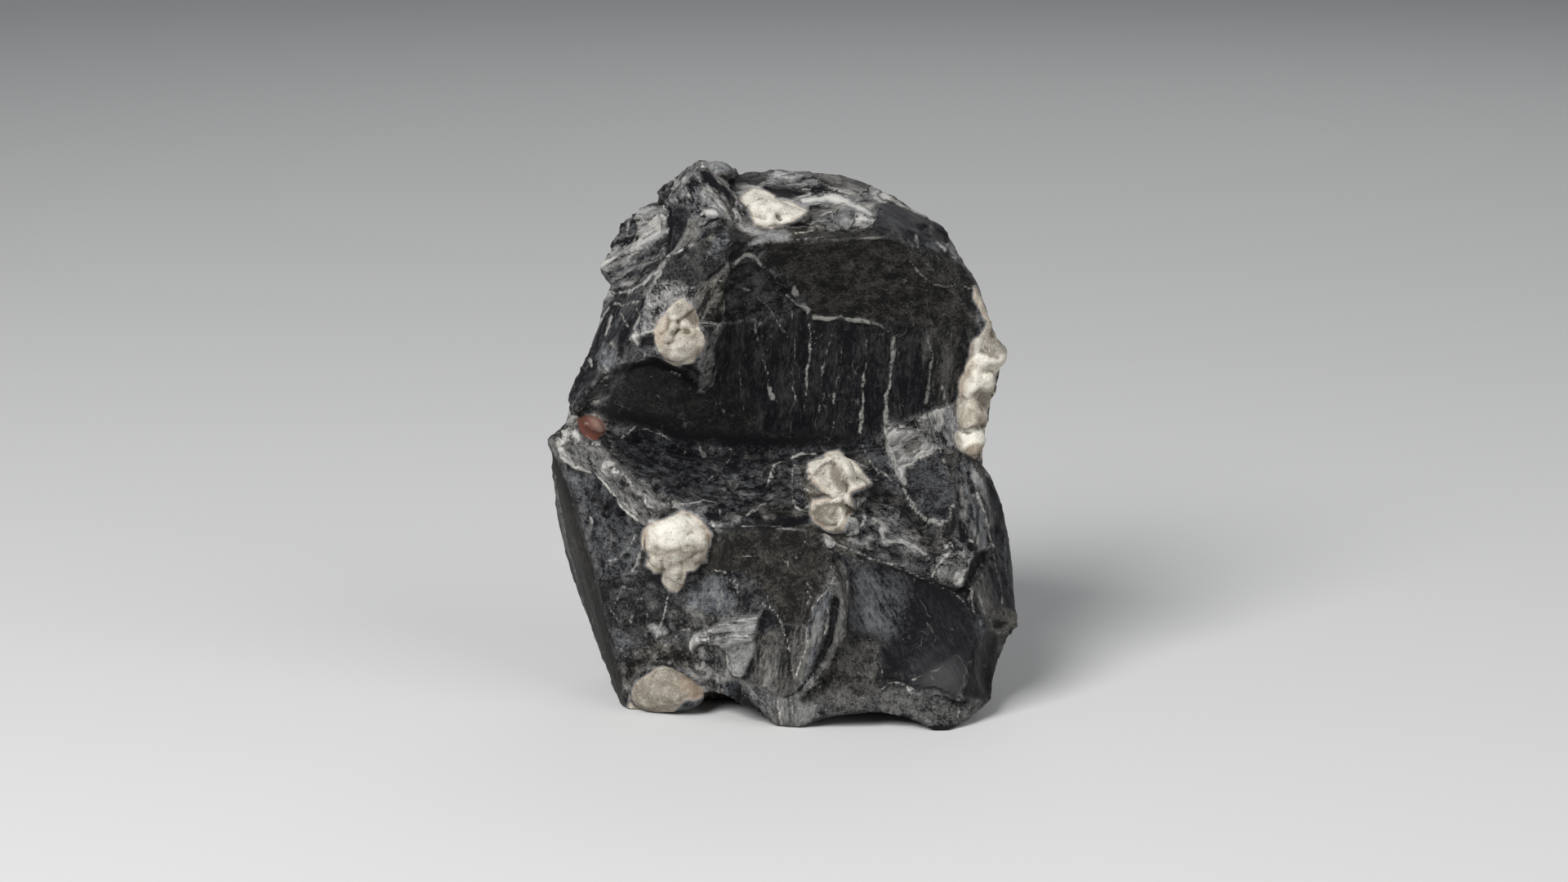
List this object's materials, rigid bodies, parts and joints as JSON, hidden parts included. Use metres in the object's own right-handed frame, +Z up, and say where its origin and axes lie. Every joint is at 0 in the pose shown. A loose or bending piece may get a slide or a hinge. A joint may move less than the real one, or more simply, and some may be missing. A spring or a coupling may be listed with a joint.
{
  "type": "snowflake obsidian",
  "caption": "Hand-sized chunk of black volcanic glass with hollow fracture scars and pale rounded nodules, standing upright on a small flat break.",
  "frame": {"origin": "middle of the stone's bounding box, on the surface that it stands on", "axes": "+Z up, -Y out of the side with the great hollow, +X to the right as that side is seen"},
  "size_m": [0.0816, 0.056, 0.0942],
  "materials": {
    "volcanic_glass": "opaque near-black volcanic glass, satin and lightly dusty, grey-worn along its edges, with chalky cream nodules of cristobalite"
  },
  "bodies": {
    "root": {"obsidian": "volcanic_glass"}
  },
  "joints": []
}
